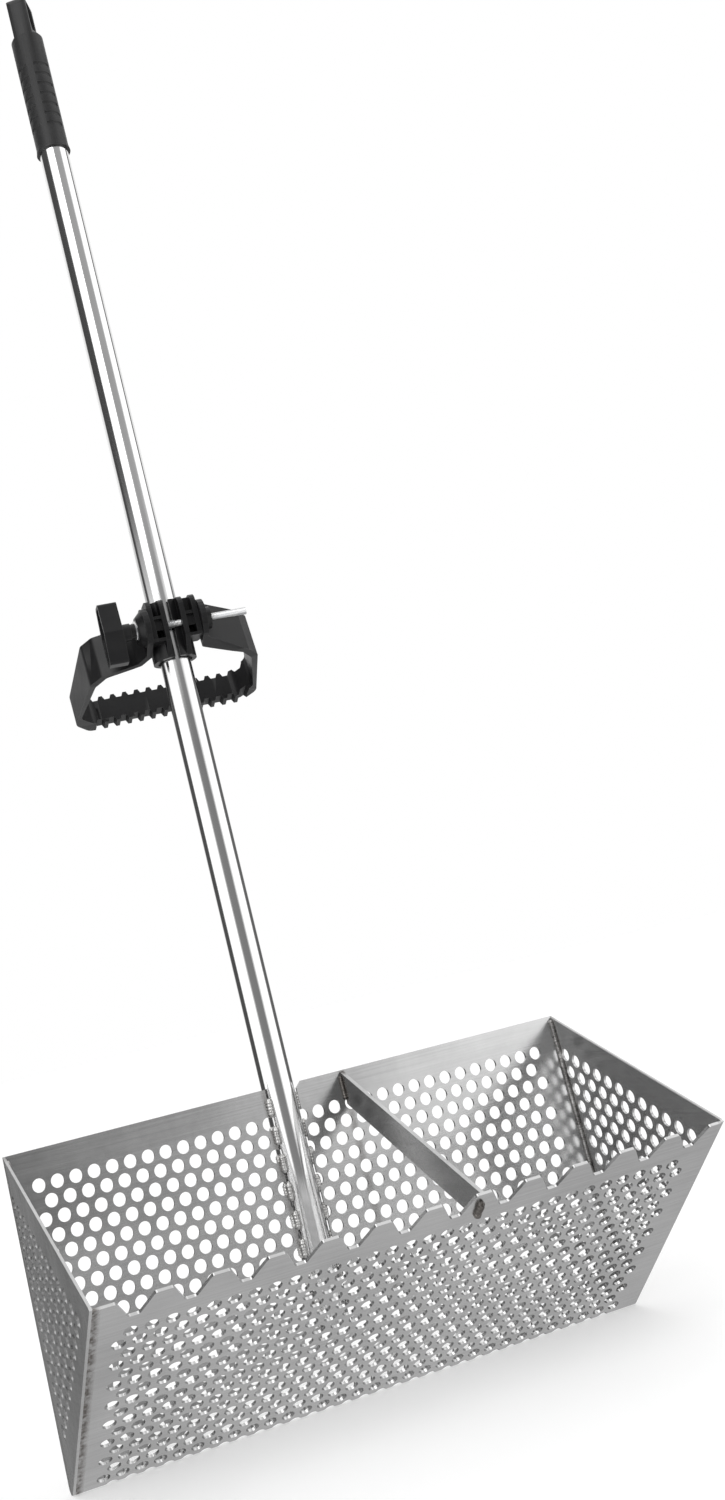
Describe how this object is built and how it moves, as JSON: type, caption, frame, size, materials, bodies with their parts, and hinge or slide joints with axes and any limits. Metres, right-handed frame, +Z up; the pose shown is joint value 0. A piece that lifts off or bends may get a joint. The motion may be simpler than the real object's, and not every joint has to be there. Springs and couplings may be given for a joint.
{
  "type": "beach sand scoop",
  "caption": "Long-handled sand scoop: perforated V-shaped steel basket with a toothed lip, welded tube pole, moulded grip and adjustable clamp-on D-handle.",
  "frame": {"origin": "centre of the hanging eye in the top of the grip, on the pole's axis", "axes": "+Z up along the pole, -Y towards the basket's mouth and teeth, +X to the user's right"},
  "size_m": [0.466, 0.3183, 1.2013],
  "materials": {
    "sheet_steel": "mill-finished stainless sheet",
    "weld_metal": "heat-tinted weld bead",
    "pole_steel": "polished stainless tube",
    "grip_plastic": "satin black moulded grip",
    "clamp_plastic": "satin black",
    "handle_plastic": "satin black",
    "knob_plastic": "satin black",
    "zinc": "bright zinc plate",
    "rubber": "matt black"
  },
  "bodies": {
    "scoop": {"back_panel": "sheet_steel", "front_panel": "sheet_steel", "left_end_panel": "sheet_steel", "right_end_panel": "sheet_steel", "brace_strip": "sheet_steel", "left_back_weld": "weld_metal", "left_front_weld": "weld_metal", "right_back_weld": "weld_metal", "right_front_weld": "weld_metal", "pole_left_weld": "weld_metal", "pole_right_weld": "weld_metal", "brace_back_weld": "weld_metal", "brace_front_weld": "weld_metal", "pole_tube": "pole_steel", "grip": "grip_plastic"},
    "liner": {"clamp_liner": "rubber"},
    "clamp": {"left_jaw": "clamp_plastic", "right_jaw": "clamp_plastic"},
    "loop": {"d_handle": "handle_plastic", "captive_nut": "zinc"},
    "washer": {"knob_washer": "zinc"},
    "knob": {"knob": "knob_plastic", "knob_bush": "knob_plastic", "clamp_bolt": "zinc"}
  },
  "joints": [
    {"name": "clamp_slide", "type": "slide", "parent": "scoop", "child": "liner", "axis": [0, 0, 1], "range_m": [-0.23, 0.415]},
    {"name": "clamp_turn", "type": "hinge", "parent": "liner", "child": "clamp", "pos_m": [0, 0, -0.5765], "axis": [0, 0, 1], "continuous": true},
    {"name": "loop_tilt", "type": "hinge", "parent": "clamp", "child": "loop", "pos_m": [-0.00282, -0.01778, -0.5765], "axis": [0.9877, -0.1564, 0], "range_deg": [-48, 78]},
    {"name": "knob_advance", "type": "slide", "parent": "clamp", "child": "washer", "axis": [-0.9877, 0.1564, 0], "range_m": [0, 0.004]},
    {"name": "knob_turn", "type": "hinge", "parent": "washer", "child": "knob", "pos_m": [-0.00282, -0.01778, -0.5765], "axis": [-0.9877, 0.1564, 0], "range_deg": [0, 1440]}
  ],
  "couplings": [
    {"joint": "knob_turn", "follows": "knob_advance", "rad_per_m": 6283.2}
  ]
}
